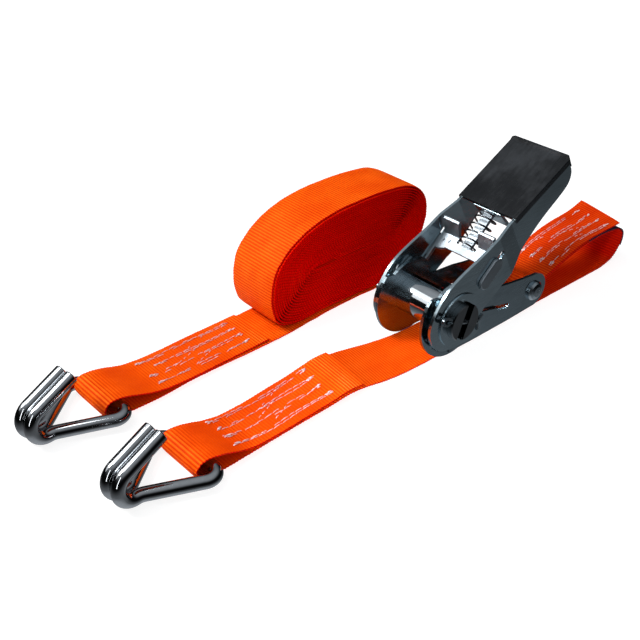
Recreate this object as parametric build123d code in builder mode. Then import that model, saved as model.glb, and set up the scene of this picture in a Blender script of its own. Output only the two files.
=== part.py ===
from build123d import *
import math
import os

# Ratchet tie down for 25 mm webbing, in two halves laid side by side: a short strap with the
# ratchet buckle, and a long strap wound into a roll. Each half ends in a double-J wire hook.
# Millimetres. X runs along the straps (hooks at -X), Z is up, the floor is Z = 0 and the
# origin is on the floor under the middle of the winding spool's axis, which runs along Y.

os.makedirs("parts", exist_ok=True)

# ---- driving dimensions -------------------------------------------------------------------
WEB_W = 25.0            # webbing width
LONG_W = 26.0           # the long strap lies a little wider, still inside the frame plates
WEB_T = 1.1             # webbing thickness
SPOOL_Z = 20.0          # height of the spool axis
MAND_R = 9.0            # outer radius of the two-part spool
MAND_HALF_L = 22.0      # half length of the spool
SLOT_W = 4.4            # webbing slot between the spool halves
PIN_Y = 20.6            # split pins in the ends of the spool
SLOT_DEG = 68.0         # direction of that slot, from +X towards +Z
FIT = 0.08              # radial running clearance
FR_IN, FR_OUT = 13.2, 14.7      # frame plates, inner and outer |y|
WH_IN, WH_OUT = 15.0, 16.4      # ratchet wheels
HA_IN, HA_OUT = 16.7, 18.1      # handle cheeks round the spool
GR_IN, GR_OUT = 15.2, 16.6      # handle cheeks at the grip
BOSS_R, BOSS_H = 13.2, 0.8      # raised ring of the cheek round the spool
TEETH = 12
WH_TIP, WH_ROOT = 17.6, 15.1
CAM_R = 20.3
ARM = (58.8, 10.8)      # anchor bolt centre (x, z)
ARM_R = 9.0
HANDLE_DEG = 28.0       # direction of the grip at rest
DRIVE_DEG = 41.0        # direction of the drive slide at rest
LOCK_DEG = -13.0        # direction of the lock slide
PAWL_U = 17.9           # inner end of both pawls at rest, just clear of the tooth tips
SEAT = 2.3              # how far each pawl moves in to seat in a tooth space
DRIVE_TRAVEL = 4.5      # how far the drive slide is pulled back
LOCK_TRAVEL = 4.0
PLATE_T = 1.8           # thickness of both slides
WIRE_R = 3.0            # hook wire radius

HP = Plane(origin=(0, 0, SPOOL_Z), x_dir=(math.cos(math.radians(HANDLE_DEG)), 0, math.sin(math.radians(HANDLE_DEG))), z_dir=(0, -1, 0))
SP = Plane(origin=(0, 0, SPOOL_Z), x_dir=(math.cos(math.radians(DRIVE_DEG)), 0, math.sin(math.radians(DRIVE_DEG))), z_dir=(0, -1, 0))
LP = Plane(origin=(0, 0, SPOOL_Z), x_dir=(math.cos(math.radians(LOCK_DEG)), 0, math.sin(math.radians(LOCK_DEG))), z_dir=(0, -1, 0))
WP = Plane(origin=(0, 0, 0), x_dir=(1, 0, 0), z_dir=(0, -1, 0))       # local (x, y) = world (x, z)


def across(pl, y):
    """The same plane moved to stand at world y."""
    return Plane(origin=pl.origin + Vector(0, y, 0), x_dir=pl.x_dir, z_dir=pl.z_dir)


def along(pl, v):
    """A plane with local x = the plane's own x and local y = world +Y, at height v of the plane's y."""
    n = pl.y_dir
    return Plane(origin=pl.origin + n * v, x_dir=pl.x_dir, z_dir=pl.x_dir.cross(Vector(0, 1, 0)))


def save(part, name):
    part.label = name
    export_step(part, "parts/%s.step" % name)


def polar(r, deg):
    return (r * math.cos(math.radians(deg)), r * math.sin(math.radians(deg)))


# ---- frame plates -------------------------------------------------------------------------
cam = [polar(17.0, a) for a in range(64, 134, 7)]
cam += [polar(20.9, 137.5)]
cam += [(20.3 * math.cos(math.radians(a)) - 0.6, 20.3 * math.sin(math.radians(a)) + 0.45) for a in range(146, 287, 7)]
cam = [(x, z + SPOOL_Z) for x, z in cam]
arm_low = [(14.0, 0.8), (40.0, 1.1), (60.0, 1.9)]
arm_end = [(ARM[0] + ARM_R * math.cos(math.radians(a)), ARM[1] + ARM_R * math.sin(math.radians(a))) for a in range(-80, 91, 10)]
arm_up = [(50.0, 20.6), (38.0, 22.2), (31.0, 23.4), (19.5, 24.2), (13.6, 25.6), (10.6, 30.0)]
frame_pts = cam + arm_low + arm_end + arm_up


def frame_plate(y_near, name):
    with BuildPart() as plate:
        with BuildSketch(across(WP, y_near)):
            with BuildLine():
                Polyline(*frame_pts, close=True)
            make_face()
            with Locations((0, SPOOL_Z)):
                Circle(MAND_R + FIT, mode=Mode.SUBTRACT)
            with Locations(ARM):
                Circle(3.0 + 0.02, mode=Mode.SUBTRACT)
        extrude(amount=FR_OUT - FR_IN)
        # slot that carries the lock slide
        with BuildSketch(across(LP, y_near)):
            with Locations((31.2, -1.0)):
                SlotOverall(20.4, 2.7)
        extrude(amount=FR_OUT - FR_IN, mode=Mode.SUBTRACT)
        fillet(plate.edges().filter_by(Axis.Y).filter_by(lambda e: abs((e @ 0).X - 10.6) < 0.2 or abs((e @ 0).X - 13.6) < 0.2 or abs((e @ 0).X - 50) < .1), 1.0)
    save(plate.part, name)
    return plate.part


frame_plate(-FR_IN, "frame_plate_near")
frame_plate(FR_OUT, "frame_plate_far")

# ---- anchor bolt, sleeve and nut -----------------------------------------------------------
with BuildPart() as anchor_bolt:
    with BuildSketch(Plane(origin=(ARM[0], 0, ARM[1]), x_dir=(1, 0, 0), z_dir=(0, 0, 1))):
        with BuildLine():
            Polyline((0, -17.5), (2.6, -17.3), (4.2, -16.7), (5.0, -15.7), (5.0, -FR_OUT), (3.0, -FR_OUT), (3.0, 18.9), (2.6, 19.3), (0, 19.3), close=True)
        make_face()
    revolve(axis=Axis((ARM[0], 0, ARM[1]), (0, 1, 0)))
save(anchor_bolt.part, "anchor_bolt")

with BuildPart() as anchor_nut:
    with BuildSketch(across(WP, FR_OUT + 3.4)):
        with Locations(ARM):
            RegularPolygon(5.5, 6)
            Circle(3.02, mode=Mode.SUBTRACT)
    extrude(amount=3.4)
    chamfer(anchor_nut.edges().group_by(Axis.Y)[-1].filter_by(GeomType.LINE), 0.5)
save(anchor_nut.part, "anchor_nut")

with BuildPart() as anchor_sleeve:
    with BuildSketch(across(WP, FR_IN)):
        with Locations(ARM):
            Circle(4.2)
            Circle(3.05, mode=Mode.SUBTRACT)
    extrude(amount=2 * FR_IN)
save(anchor_sleeve.part, "anchor_sleeve")

# ---- lock slide, its spring and the spring's seat --------------------------------------------
LV = -1.9               # the lock slide's lower face in its plane
with BuildPart() as lock_slide:
    with BuildSketch(along(LP, LV)):
        with BuildLine():
            Polyline((PAWL_U, 15.15), (PAWL_U, 16.25), (31.0, 16.25), (31.0, 4.6), (29.6, 3.0), (29.6, 1.7), (35.0, 1.7), (35.0, -1.7), (29.6, -1.7),
                     (29.6, -3.0), (31.0, -4.6), (31.0, -16.25), (PAWL_U, -16.25), (PAWL_U, -15.15), (24.2, -15.15), (24.2, 15.15), close=True)
        make_face()
    extrude(amount=PLATE_T)
    with BuildSketch(along(LP, LV)):
        with Locations((27.6, 9.4), (27.6, -9.4)):
            SlotOverall(5.0, 2.2)
    extrude(amount=PLATE_T, mode=Mode.SUBTRACT)
save(lock_slide.part, "lock_slide")
bb = lock_slide.part.bounding_box()
print("lock slide z", bb.min, bb.max)

with BuildPart() as lock_spring_seat:
    with BuildSketch(across(LP, FR_IN)):
        with Locations((44.0, -0.4)):
            Rectangle(1.5, 9.0)
    extrude(amount=2 * FR_IN)
    with BuildSketch(across(LP, 6.0)):
        with Locations((42.8, -1.0)):
            Rectangle(1.2, 1.6)
    extrude(amount=12.0)
    with BuildSketch(Plane(origin=LP.origin + LP.x_dir * 43.0 + LP.y_dir * -1.0, x_dir=(0, 1, 0), z_dir=LP.x_dir)):
        Rectangle(4.2, 2.7)
    extrude(amount=3.0, mode=Mode.SUBTRACT)
save(lock_spring_seat.part, "lock_spring_seat")


def spring(plane, u0, u1, v, r, wire_r, turns, name):
    length = u1 - u0
    start = plane.origin + plane.x_dir * u0 + plane.y_dir * v
    with BuildPart() as coil:
        with BuildLine():
            path = Helix(pitch=length / turns, height=length, radius=r, center=start, direction=plane.x_dir)
        with BuildSketch(path ^ 0):
            Circle(wire_r)
        sweep(is_frenet=True)
    save(coil.part, name)
    return coil.part


spring(LP, 31.5, 41.7, -1.0, 2.6, 0.35, 6, "lock_spring")

# ---- handle: one channel of two cheeks and a web --------------------------------------------
V_TOP = 18.0            # top of the grip cover above the spool axis, square to the grip
COVER_T = 1.0
WEB_TOP = V_TOP - COVER_T
WEB_BOT = WEB_TOP - 1.4
GRIP_U0, GRIP_U1 = 48.4, 90.6
COVER_Y = 17.2          # half width of the grip cover
cheek = [(GRIP_U0 - 0.1, WEB_TOP), (31.6, 17.9), (17.0, 19.0), (7.3, 19.8), (-0.3, 19.2), (-7.7, 16.4), (-13.2, 13.0), (-16.8, 8.6), (-18.0, 4.0),
         (-17.6, -1.4), (-15.0, -6.6), (-10.6, -10.4), (-4.4, -13.8), (0.6, -16.6), (4.4, -17.6), (8.0, -16.6), (10.6, -13.0), (13.4, -9.2), (17.0, -8.4),
         (20.8, -8.0), (28.5, -7.2), (39.8, -5.4), (46.4, -2.4), (55.1, 0.2), (62.7, 1.9), (69.6, 2.8), (80.4, 4.0), (85.4, 5.6), (88.2, 8.8), (88.8, 12.6), (88.8, WEB_TOP)]
with BuildPart() as handle_channel:
    with BuildSketch(across(HP, HA_OUT)):
        with BuildLine():
            a = Line(cheek[0], cheek[1])
            b = Spline(*cheek[1:21])
            c = Spline(*cheek[20:-1])
            d = Line(cheek[-2], cheek[-1])
            e = Line(cheek[-1], cheek[0])
        make_face()
    extrude(amount=2 * HA_OUT)
    # inside of the channel: below the web at the grip, right through beyond it
    with BuildSketch(along(HP, -40)):
        with BuildLine():
            Polyline((-40, -HA_IN), (36, -HA_IN), (46, -GR_IN), (120, -GR_IN), (120, GR_IN), (46, GR_IN), (36, HA_IN), (-40, HA_IN), close=True)
        make_face()
    extrude(amount=40 + WEB_BOT, mode=Mode.SUBTRACT)
    with BuildSketch(along(HP, -40)):
        with BuildLine():
            Polyline((-40, -HA_IN), (36, -HA_IN), (46, -GR_IN), (GRIP_U0 + 0.4, -GR_IN), (GRIP_U0 + 0.4, GR_IN), (46, GR_IN), (36, HA_IN), (-40, HA_IN), close=True)
        make_face()
    extrude(amount=80, mode=Mode.SUBTRACT)
    # outside of the cheeks follows the step in
    for s in (-1, 1):
        with BuildSketch(along(HP, -40)):
            with BuildLine():
                Polyline((36, s * HA_OUT), (46, s * GR_OUT), (120, s * GR_OUT), (120, s * 30), (36, s * 30), close=True)
            make_face()
        extrude(amount=80, mode=Mode.SUBTRACT)
    # bore and raised ring round the spool
    for s in (-1, 1):
        with BuildSketch(across(WP, s * (HA_OUT + (BOSS_H if s > 0 else 0)))):
            with Locations((0, SPOOL_Z)):
                Circle(BOSS_R)
        extrude(amount=BOSS_H, taper=12 if s < 0 else 0)
    with BuildSketch(across(WP, 30)):
        with Locations((0, SPOOL_Z)):
            Circle(MAND_R + FIT)
    extrude(amount=60, mode=Mode.SUBTRACT)
    # slots for the drive slide's ends
    with BuildSketch(across(SP, 30)):
        with Locations((26.95, 1.0)):
            SlotOverall(20.6, 2.6)
    extrude(amount=60, mode=Mode.SUBTRACT)
    # tab turned down from the web's front edge, holed for the slide's stem
    with BuildSketch(across(SP, 8.0)):
        Polygon((50.5, -6.0), (51.9, -6.0), (51.9, 3.6), (54.0, 4.4), (53.0, 5.0), (50.5, 5.0), align=None)
    extrude(amount=16.0)
    with BuildSketch(Plane(origin=SP.origin + SP.x_dir * 50.0 + SP.y_dir * 1.0, x_dir=(0, 1, 0), z_dir=SP.x_dir)):
        Rectangle(6.0, 2.5)
    extrude(amount=2.3, mode=Mode.SUBTRACT)
save(handle_channel.part, "handle_channel")

# ---- grip cover: a cap folded over the channel's web and rolled over its end ------------------
with BuildPart() as grip_cover:
    with BuildSketch(across(HP, COVER_Y)):
        with BuildLine():
            Polyline((GRIP_U0, WEB_TOP), (88.9, WEB_TOP), (88.9, 12.8), (89.9, 12.8), (GRIP_U1, 15.2), (GRIP_U1 + 0.2, 17.6), (90.3, 18.6), (89.2, 18.8), (88.2, V_TOP), (GRIP_U0, V_TOP), close=True)
        make_face()
    extrude(amount=2 * COVER_Y)
    for s in (-1, 1):
        with BuildSketch(across(HP, COVER_Y if s > 0 else -16.65)):
            Polygon((GRIP_U0, WEB_TOP - 2.0), (89.4, WEB_TOP - 2.0), (89.4, WEB_TOP + 0.2), (GRIP_U0, WEB_TOP + 0.2), align=None)
        extrude(amount=COVER_Y - 16.65)
    fillet(grip_cover.edges().filter_by(lambda g: abs(g.center().Y) > COVER_Y - 0.1 and abs(HP.to_local_coords(g.center()).Y - V_TOP) < 0.02 and g.length > 20), 0.5)
    # corners of the rolled end rounded in plan
    with BuildSketch(along(HP, 10)):
        with Locations(((GRIP_U1 + 0.2 + 30) / 2, 0)):
            RectangleRounded(GRIP_U1 + 0.2 - 30, 2 * COVER_Y, 3.2)
    extrude(amount=12, mode=Mode.INTERSECT)
save(grip_cover.part, "grip_cover")

# ---- drive slide: plate, pawl prongs, cheek shoes, finger ears and stem -----------------------
with BuildPart() as drive_slide:
    with BuildSketch(along(SP, 0.1)):
        with BuildLine():
            Polyline((PAWL_U, -15.15), (PAWL_U, -16.25), (20.0, -16.25), (20.0, -18.3), (31.4, -18.3), (31.4, -16.25), (34.4, -16.25), (34.4, -5.8), (30.8, -5.8), (30.8, -2.5), (53.6, -2.5),
                     (53.6, 2.5), (30.8, 2.5), (30.8, 5.8), (34.4, 5.8), (34.4, 16.25), (31.4, 16.25), (31.4, 18.3), (20.0, 18.3), (20.0, 16.25), (PAWL_U, 16.25), (PAWL_U, 15.15),
                     (24.9, 15.15), (25.3, 12.6), (26.7, 9.6), (26.7, -9.6), (25.3, -12.6), (24.9, -15.15), close=True)
        make_face()
    extrude(amount=PLATE_T)
    for s in (-1, 1):
        # shoe that rides on the outside of the cheek
        with BuildSketch(across(SP, 19.8 if s > 0 else -18.3)):
            with Locations((25.0, 0.9)):
                SlotOverall(16.0, 6.8)
        extrude(amount=1.5)
        # finger ear, folded up and leaning back
        with BuildSketch(across(SP, s * 10.5 + 4.6)):
            Polygon((32.8, 1.0), (34.4, 0.3), (39.2, 8.1), (38.5, 8.9), (37.5, 8.8), align=None)
        extrude(amount=9.2)
    fillet(drive_slide.edges().filter_by(lambda g: abs(abs(g.center().Y) - 19.8) < 0.01), 0.5)
    with BuildSketch(along(SP, 1.3)):
        with Locations((29.6, 12.6), (30.0, 9.2)):
            Circle(0.8)
    extrude(amount=1.0, mode=Mode.SUBTRACT)
save(drive_slide.part, "drive_slide")

spring(SP, 31.3, 49.5, 1.0, 4.8, 0.45, 5.5, "drive_spring")

# ---- spool: two half-round bars, two toothed wheels, two split pins ---------------------------
def half_face(side, r, grow=0.0):
    """Half-moon on one side of the webbing slot, centred on the spool axis (sketch context)."""
    Circle(r)
    with Locations(Location((0, 0, 0), (0, 0, SLOT_DEG))):
        with Locations((0, side * (SLOT_W / 2 - grow - 50))):
            Rectangle(100, 100, mode=Mode.SUBTRACT)


def mandrel_half(side, name):
    with BuildPart() as bar:
        with BuildSketch(Plane(origin=(0, MAND_HALF_L, SPOOL_Z), x_dir=(1, 0, 0), z_dir=(0, -1, 0))):
            Circle(MAND_R)
        extrude(amount=2 * MAND_HALF_L)
        chamfer(bar.edges().filter_by(GeomType.CIRCLE), 0.4)
        with BuildSketch(Plane(origin=(0, MAND_HALF_L, SPOOL_Z), x_dir=(1, 0, 0), z_dir=(0, -1, 0))):
            with Locations(Location((0, 0, 0), (0, 0, SLOT_DEG))):
                with Locations((0, side * (SLOT_W / 2 - 50))):
                    Rectangle(100, 100)
        extrude(amount=2 * MAND_HALF_L, mode=Mode.SUBTRACT)
        # pin holes square to the slot
        n = Vector(-math.sin(math.radians(SLOT_DEG)), 0, math.cos(math.radians(SLOT_DEG)))
        for y in (-PIN_Y, PIN_Y):
            with BuildSketch(Plane(origin=Vector(0, y, SPOOL_Z) - n * 15, x_dir=(0, 1, 0), z_dir=n)):
                Circle(1.35)
            extrude(amount=30, mode=Mode.SUBTRACT)
    save(bar.part, name)
    return bar.part


mandrel_half(1, "mandrel_half_upper")
mandrel_half(-1, "mandrel_half_lower")

pitch = 360.0 / TEETH
tooth = []
for k in range(TEETH):
    a0 = DRIVE_DEG + 8.3 + k * pitch          # steep face
    for r, a in ((WH_ROOT, a0), (WH_TIP, a0), (WH_TIP, a0 + 2.2), (16.6, a0 + 9.0), (15.6, a0 + 15.6), (WH_ROOT, a0 + pitch - 10.2), (WH_ROOT, a0 + pitch - 5)):
        tooth.append(polar(r, a))


def wheel(y, name):
    with BuildPart() as w:
        with BuildSketch(Plane(origin=(0, y, SPOOL_Z), x_dir=(1, 0, 0), z_dir=(0, -1, 0))):
            with BuildLine():
                Polyline(*tooth, close=True)
            make_face()
        extrude(amount=WH_OUT - WH_IN)
        for side in (1, -1):
            with BuildSketch(Plane(origin=(0, y, SPOOL_Z), x_dir=(1, 0, 0), z_dir=(0, -1, 0))) as hole:
                half_face(side, MAND_R + 0.05, grow=0.05)
            extrude(amount=WH_OUT - WH_IN, mode=Mode.SUBTRACT)
    save(w.part, name)
    return w.part


wheel(-WH_IN, "ratchet_wheel_near")
wheel(WH_OUT, "ratchet_wheel_far")


def split_pin(y, name):
    """Folded half-round wire: an eye at one end, the two legs bent apart at the other."""
    n = Vector(-math.sin(math.radians(SLOT_DEG)), 0, math.cos(math.radians(SLOT_DEG)))
    t = Vector(math.cos(math.radians(SLOT_DEG)), 0, math.sin(math.radians(SLOT_DEG)))
    o = Vector(0, y, SPOOL_Z)
    pl = Plane(origin=o, x_dir=n, z_dir=(0, 1, 0))      # local x = n, local y = z_dir x n
    sy = pl.y_dir.dot(t)
    with BuildPart() as pin:
        with BuildSketch(Plane(origin=o - n * 9.6, x_dir=(0, 1, 0), z_dir=n)):
            Circle(1.2)
        extrude(amount=19.2)
        # eye
        with BuildSketch(pl.offset(-0.6)):
            with Locations((12.0, 0)):
                Ellipse(3.3, 2.3)
            with Locations((12.0, 0)):
                Ellipse(2.0, 1.1, mode=Mode.SUBTRACT)
        extrude(amount=1.2)
        # legs
        with BuildSketch(pl.offset(-0.6)):
            Polygon((-9.2, 1.15), (-9.2, -0.05), (-10.2, -0.05), (-11.4, 0.9), (-12.8, 3.6), (-11.8, 4.1), (-10.4, 1.15), align=None)
            Polygon((-9.2, -1.15), (-9.2, 0.05), (-10.2, 0.05), (-11.4, -0.9), (-12.8, -3.6), (-11.8, -4.1), (-10.4, -1.15), align=None)
        extrude(amount=1.2)
    save(pin.part, name)
    return pin.part


split_pin(-PIN_Y, "split_pin_near")
split_pin(PIN_Y, "split_pin_far")

# ---- double-J wire hooks ---------------------------------------------------------------------
HOOK_HALF = 17.4        # half width of the hook to the wire's centre line
CORNER_R = 4.6
LEG_DEG = 32.5
NECK_R = 6.0
NECK_Y = 3.1            # the two wires lie side by side
J_R = 7.1
J_DEG = 21.0            # slope of the straight tip
J_TIP = 19.7
HOOK_TILT = 2.3


def hook(cx, cy, cz, turn, name):
    """Wire hook: cross bar on the local y axis, legs converging towards local -x, both ends bent up and over."""
    base = Plane(origin=(cx, cy, cz), x_dir=(1, 0, 0), z_dir=(0, 0, 1)).rotated((0, 0, turn)).rotated((0, -HOOK_TILT, 0))
    g = math.radians(LEG_DEG)
    yc = HOOK_HALF - CORNER_R
    p0 = (0, 0, 0)
    p1 = (0, -yc, 0)
    c1 = (-CORNER_R, -yc)
    amid = -math.radians(90 + LEG_DEG) / 2
    m1 = (c1[0] + CORNER_R * math.cos(amid), c1[1] + CORNER_R * math.sin(amid), 0)
    p2 = (c1[0] - CORNER_R * math.sin(g), c1[1] - CORNER_R * math.cos(g), 0)
    y3 = -NECK_Y - NECK_R * (1 - math.cos(g))
    s = (y3 - p2[1]) / math.sin(g)
    p3 = (p2[0] - s * math.cos(g), y3, 0)
    x4 = p3[0] - NECK_R * math.sin(g)
    c2 = (x4, -NECK_Y - NECK_R)
    a2 = math.radians(90 - LEG_DEG / 2)
    m2 = (c2[0] + NECK_R * math.cos(a2), c2[1] + NECK_R * math.sin(a2), 0)
    p4 = (x4, -NECK_Y, 0)
    end = math.radians(90 + J_DEG)
    mid = math.radians((270 + 90 + J_DEG) / 2)
    m3 = (x4 + J_R * math.cos(mid), -NECK_Y, J_R + J_R * math.sin(mid))
    p5 = (x4 + J_R * math.cos(end), -NECK_Y, J_R + J_R * math.sin(end))
    p6 = (p5[0] + J_TIP * math.cos(math.radians(J_DEG)), -NECK_Y, p5[2] + J_TIP * math.sin(math.radians(J_DEG)))
    print(name, "neck x", round(x4, 2), "tip", [round(q, 2) for q in p6])
    with BuildPart() as h:
        for sy in (1, -1):
            f = lambda p: (p[0], sy * p[1], p[2])
            with BuildLine(base) as path:
                Line(f(p0), f(p1))
                ThreePointArc(f(p1), f(m1), f(p2))
                Line(f(p2), f(p3))
                ThreePointArc(f(p3), f(m2), f(p4))
                ThreePointArc(f(p4), f(m3), f(p5))
                Line(f(p5), f(p6))
            with BuildSketch(Plane(origin=base.origin, x_dir=base.x_dir, z_dir=base.y_dir * (-sy))):
                Circle(WIRE_R)
            sweep()
        chamfer(h.faces().filter_by(GeomType.PLANE).edges().filter_by(GeomType.CIRCLE), 0.35)
    save(h.part, name)
    v = h.part.bounding_box()
    print(name, "solids", len(h.part.solids()), "box", v.min, v.max)
    return h.part


SHORT_HOOK = (-134.5, 1.05, 4.5, 6.2)
LONG_HOOK = (-141.3, 57.0, 4.5, 8.0)
hook(*SHORT_HOOK, "short_hook")
hook(*LONG_HOOK, "long_hook")

# ---- webbing -----------------------------------------------------------------------------------
def ribbon(pts, t):
    """Outline of a band of thickness t about an open centre line."""
    left, right = [], []
    n = len(pts)
    for i in range(n):
        a = pts[max(i - 1, 0)]
        b = pts[min(i + 1, n - 1)]
        dx, dz = b[0] - a[0], b[1] - a[1]
        d = math.hypot(dx, dz)
        nx, nz = -dz / d, dx / d
        if 0 < i < n - 1:
            ax, az = pts[i][0] - pts[i - 1][0], pts[i][1] - pts[i - 1][1]
            la = math.hypot(ax, az)
            k = max(0.5, (ax * dx + az * dz) / (la * d))
        else:
            k = 1.0
        left.append((pts[i][0] + nx * t / 2 / k, pts[i][1] + nz * t / 2 / k))
        right.append((pts[i][0] - nx * t / 2 / k, pts[i][1] - nz * t / 2 / k))
    return left + right[::-1]


def arc_pts(cx, cz, rx, rz, a0, a1, n):
    return [(cx + rx * math.cos(math.radians(a0 + (a1 - a0) * i / n)), cz + rz * math.sin(math.radians(a0 + (a1 - a0) * i / n))) for i in range(n + 1)]


h = WEB_T / 2
# eye round a hook's cross bar: lower layer, round the front, back over the top onto the lower layer
def eye(cx):
    return [(cx + 20, h), (cx + 8, h), (cx - 1.5, h)] + arc_pts(cx - 1.6, 4.95, 4.4, 4.4, -100, -260, 10) + [(cx + 1.5, 8.9), (cx + 5.5, 7.6), (cx + 10, 5.0), (cx + 14.5, 2.7), (cx + 20, h + WEB_T)]


XS = SHORT_HOOK[0]
DOUBLE_END = -52.4
low_run = [(XS + 19.0, h), (-40.0, h)]
loop = [(-41.0, h), (0, h), (60, h), (118.0, h)] + arc_pts(118.6, 11.4, 15.3, 10.85, -80, 78, 14) + [(118.0, 21.6), (108.0, 21.9), (98.0, 21.2), (88.0, 18.9), (78.0, 15.8), (70.0, 13.0), (66.5, 12.0)]
bolt_eye = [(66.5, 12.0)] + arc_pts(ARM[0], ARM[1], 4.95, 4.95, 30, 330, 14) + [(66.5, 10.9), (72.0, 12.5), (78.0, 14.6), (88.0, 17.6), (98.0, 20.0), (106.0, 20.8)]
flap = [(100.0, 22.5), (112.0, 23.2), (122.0, 23.4), (130.5, 24.6)]

with BuildPart() as short_strap:
    with BuildSketch(across(WP, 13.7)):
        with BuildLine():
            Polyline(*ribbon(eye(XS), WEB_T), close=True)
        make_face()
        with BuildLine():
            Polyline(*ribbon(low_run, WEB_T), close=True)
        make_face()
        with BuildLine():
            Polyline(*ribbon([(XS + 15.0, h + WEB_T - 0.05), (DOUBLE_END, h + WEB_T - 0.05)], WEB_T + 0.1), close=True)
        make_face()
    extrude(amount=WEB_W)
    with BuildSketch(across(WP, WEB_W / 2)):
        for pts, t in ((loop, WEB_T), (bolt_eye, WEB_T), ([(70.0, 12.4), (78.0, 15.2), (88.0, 18.2), (98.0, 20.6), (106.0, 21.4)], WEB_T + 0.5), (flap, WEB_T), ([(98.0, 21.8), (108.0, 22.5), (118.0, 22.5)], WEB_T)):
            with BuildLine():
                Polyline(*ribbon(pts, t), close=True)
            make_face()
    extrude(amount=WEB_W)
save(short_strap.part, "short_strap")
print("short strap solids", len(short_strap.part.solids()), short_strap.part.bounding_box().max)

# blank label sewn over the outside of the loop's shoulder
with BuildPart() as strap_label:
    with BuildSketch(across(WP, 11.5)):
        with BuildLine():
            Polyline(*ribbon(arc_pts(118.6, 11.4, 16.2, 11.75, -10, 62, 9), 0.5), close=True)
        make_face()
    extrude(amount=23.0)
save(strap_label.part, "strap_label")
print("label", strap_label.part.bounding_box().min, strap_label.part.bounding_box().max)

# long strap: eye and run turned a little about Z, then the roll
RUN_DEG = 3.3
c3, s3 = math.cos(math.radians(RUN_DEG)), math.sin(math.radians(RUN_DEG))
LO = Vector(LONG_HOOK[0], 57.1, 0)
edge = LO + Vector(-s3, c3, 0) * (LONG_W / 2)
RUNP = Plane(origin=edge, x_dir=(c3, s3, 0), z_dir=(s3, -c3, 0))
ROLL_Y0, ROLL_Y1 = 50.6, 77.6     # the turns stand up to 1.6 mm out of level
roll = [(-43.0, 0.6), (-20, 0.5), (0, 0.5), (22.0, 0.8), (33.0, 4.2), (42.0, 12.0), (48.0, 22.4), (50.6, 32.0), (49.4, 40.4), (44.8, 46.8), (36.8, 51.0), (23.4, 53.0),
        (3.7, 53.6), (-10.5, 52.9), (-24.3, 50.3), (-34.5, 46.4), (-44.3, 39.6), (-50.2, 32.4), (-52.9, 23.0), (-52.4, 10.8), (-49.0, 3.2)]
with BuildPart() as long_strap:
    with BuildSketch(RUNP):
        for pts, t in ((eye(0.0), WEB_T), ([(19.0, h), (98.0, h)], WEB_T), ([(15.0, h + WEB_T - 0.05), (84.0, h + WEB_T - 0.05)], WEB_T + 0.1)):
            with BuildLine():
                Polyline(*ribbon(pts, t), close=True)
            make_face()
    extrude(amount=LONG_W)
    with BuildSketch(across(WP, ROLL_Y1)):
        with BuildLine():
            Polyline(*roll, close=True)
        make_face()
    extrude(amount=ROLL_Y1 - ROLL_Y0)
save(long_strap.part, "long_strap")
print("long strap solids", len(long_strap.part.solids()))
area = 0.0
for i in range(len(roll)):
    x0, z0 = roll[i]
    x1, z1 = roll[(i + 1) % len(roll)]
    area += (x0 * z1 - x1 * z0) / 2
print("roll side area mm2", round(area), "webbing in the roll m", round(area / (WEB_T * 1.03) / 1000, 2))
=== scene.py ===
import bpy
import bmesh
import math
import random
import numpy as np
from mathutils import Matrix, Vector


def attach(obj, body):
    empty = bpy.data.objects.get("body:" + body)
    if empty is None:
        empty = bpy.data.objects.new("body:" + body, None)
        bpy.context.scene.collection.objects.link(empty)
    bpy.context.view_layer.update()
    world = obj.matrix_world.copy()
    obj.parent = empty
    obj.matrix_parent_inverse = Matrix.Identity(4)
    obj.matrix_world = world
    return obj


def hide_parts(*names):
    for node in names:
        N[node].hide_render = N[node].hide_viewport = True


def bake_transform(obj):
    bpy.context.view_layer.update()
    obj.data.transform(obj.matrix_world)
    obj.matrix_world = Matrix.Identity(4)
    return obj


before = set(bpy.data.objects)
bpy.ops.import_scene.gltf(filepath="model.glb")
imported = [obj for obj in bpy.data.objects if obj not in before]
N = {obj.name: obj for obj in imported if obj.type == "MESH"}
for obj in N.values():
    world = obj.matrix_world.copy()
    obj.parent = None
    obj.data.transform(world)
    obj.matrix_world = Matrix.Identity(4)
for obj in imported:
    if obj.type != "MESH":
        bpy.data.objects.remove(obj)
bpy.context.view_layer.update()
scene = bpy.context.scene
rng = np.random.default_rng(7)
random.seed(7)
MM = 0.001

# =============================================================================== camera
cam_data = bpy.data.cameras.new("camera")
cam = bpy.data.objects.new("camera", cam_data)
scene.collection.objects.link(cam)
scene.camera = cam
cam_data.sensor_width = 36.0
cam_data.lens = 56.25
cam_data.clip_start, cam_data.clip_end = 0.01, 20.0
AZ, EL = math.radians(-41.2), math.radians(32.5)
back = Vector((math.sin(AZ) * math.cos(EL), -math.cos(AZ) * math.cos(EL), math.sin(EL)))
cam.location = Vector((-0.29757, -0.26282, 0.26196))
cam.rotation_mode = "QUATERNION"
cam.rotation_quaternion = (-back).to_track_quat("-Z", "Y")

# =============================================================================== node helpers


def new_mat(name):
    m = bpy.data.materials.new(name)
    m.use_nodes = True
    nt = m.node_tree
    nt.nodes.clear()
    out = nt.nodes.new("ShaderNodeOutputMaterial")
    b = nt.nodes.new("ShaderNodeBsdfPrincipled")
    nt.links.new(b.outputs[0], out.inputs[0])
    return m, nt, b


def ramp(nt, fac, stops):
    r = nt.nodes.new("ShaderNodeValToRGB")
    els = r.color_ramp.elements
    while len(els) > 1:
        els.remove(els[-1])
    els[0].position, els[0].color = stops[0][0], stops[0][1]
    for p, c in stops[1:]:
        e = els.new(p)
        e.color = c
    nt.links.new(fac, r.inputs[0])
    return r.outputs[0]


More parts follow.
